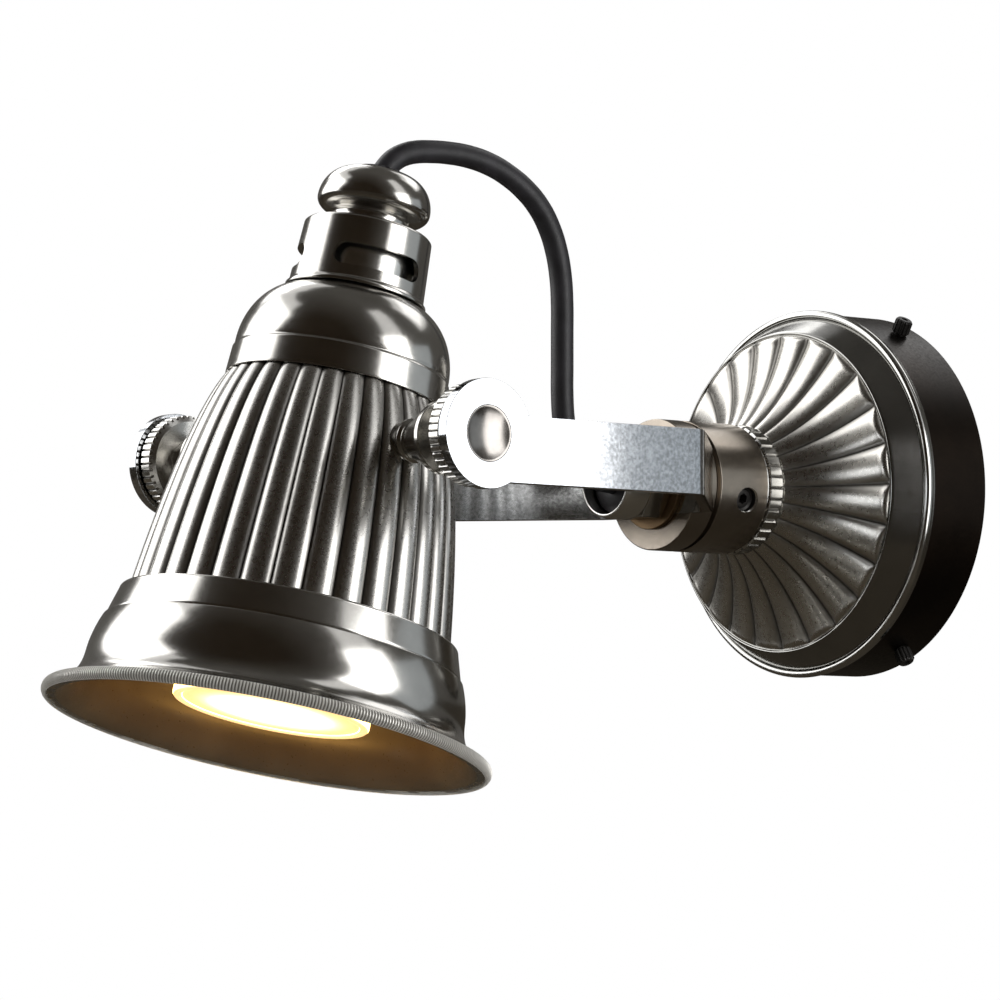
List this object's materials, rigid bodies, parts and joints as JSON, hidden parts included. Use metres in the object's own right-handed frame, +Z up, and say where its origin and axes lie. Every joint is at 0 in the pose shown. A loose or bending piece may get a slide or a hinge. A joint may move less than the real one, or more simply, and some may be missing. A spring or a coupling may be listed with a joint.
{
  "type": "wall light",
  "caption": "Wall spotlight: a fluted bell head that tilts between the arms of a strap yoke, which swivels on a round fluted wall canopy, with a short looped cable.",
  "frame": {"origin": "centre of the wall plate's cable hole, on the wall plane", "axes": "+Y into the wall, so the light stands out along -Y; +Z up; +X towards the near arm"},
  "size_m": [0.132, 0.2588, 0.169],
  "materials": {
    "antique_nickel": "polished nickel plate with a grey-brown antique patina in the recesses",
    "bright_nickel": "polished and lightly scuffed nickel plate",
    "rose_nickel": "antique nickel plate, darker in the grooves",
    "dark_bronze": "smooth satin brown-black bronze finish",
    "zinc_steel": "zinc plated",
    "black_steel": "blackened steel",
    "brass": "turned brass, dulled",
    "black_rubber": "matt black",
    "ceramic": "off-white steatite",
    "lamp_shell": "white lamp body",
    "lamp_face": "frosted front glass, warm lit"
  },
  "bodies": {
    "wall_base": {"wall_plate": "zinc_steel", "canopy_cup": "dark_bronze", "canopy_rim": "bright_nickel", "canopy_rose": "rose_nickel", "side_screws": "black_steel", "terminal_block": "ceramic", "supply_lead": "black_rubber", "rear_locknut": "zinc_steel", "hub_knurled_ring": "bright_nickel", "hub_collar": "rose_nickel", "hub_grub_screw": "black_steel"},
    "yoke_arm": {"hub_front": "rose_nickel", "nipple": "brass", "nipple_washer": "brass", "nipple_nut": "bright_nickel", "gland_cap": "bright_nickel", "gland_seal": "black_rubber", "yoke": "bright_nickel", "near_friction_washer": "black_rubber", "far_friction_washer": "black_rubber"},
    "lamp_head": {"near_pivot_bolt": "bright_nickel", "far_pivot_bolt": "bright_nickel", "near_boss": "antique_nickel", "far_boss": "antique_nickel", "pivot_nuts": "zinc_steel", "fluted_body": "antique_nickel", "collar_band": "antique_nickel", "bell": "antique_nickel", "bell_rim": "bright_nickel", "lamp_bezel": "dark_bronze", "dome_cap": "antique_nickel", "vent_collar": "antique_nickel", "inner_sleeve": "bright_nickel", "finial": "antique_nickel", "tie_tube": "brass", "tie_nut": "zinc_steel", "spider_plate": "zinc_steel", "holder_studs": "zinc_steel", "lamp_holder": "ceramic", "lamp": "lamp_shell", "lamp_glass": "lamp_face", "lamp_leads": "black_rubber", "cable_bush": "black_rubber", "cable": "black_rubber"},
    "near_clamp": {"near_knob": "bright_nickel"},
    "far_clamp": {"far_knob": "bright_nickel"}
  },
  "joints": [
    {"name": "yoke_swivel", "type": "hinge", "parent": "wall_base", "child": "yoke_arm", "pos_m": [0, -0.07, 0], "axis": [0, -1, 0], "range_deg": [-90, 90]},
    {"name": "head_tilt", "type": "hinge", "parent": "yoke_arm", "child": "lamp_head", "pos_m": [0, -0.185, 0.0035], "axis": [-1, 0, 0], "range_deg": [-14, 46], "deforming": ["cable"]},
    {"name": "near_knob_turn", "type": "hinge", "parent": "lamp_head", "child": "near_clamp", "pos_m": [0, -0.185, 0.0035], "axis": [1, 0, 0], "range_deg": [0, 180]},
    {"name": "far_knob_turn", "type": "hinge", "parent": "lamp_head", "child": "far_clamp", "pos_m": [0, -0.185, 0.0035], "axis": [-1, 0, 0], "range_deg": [0, 180]}
  ]
}
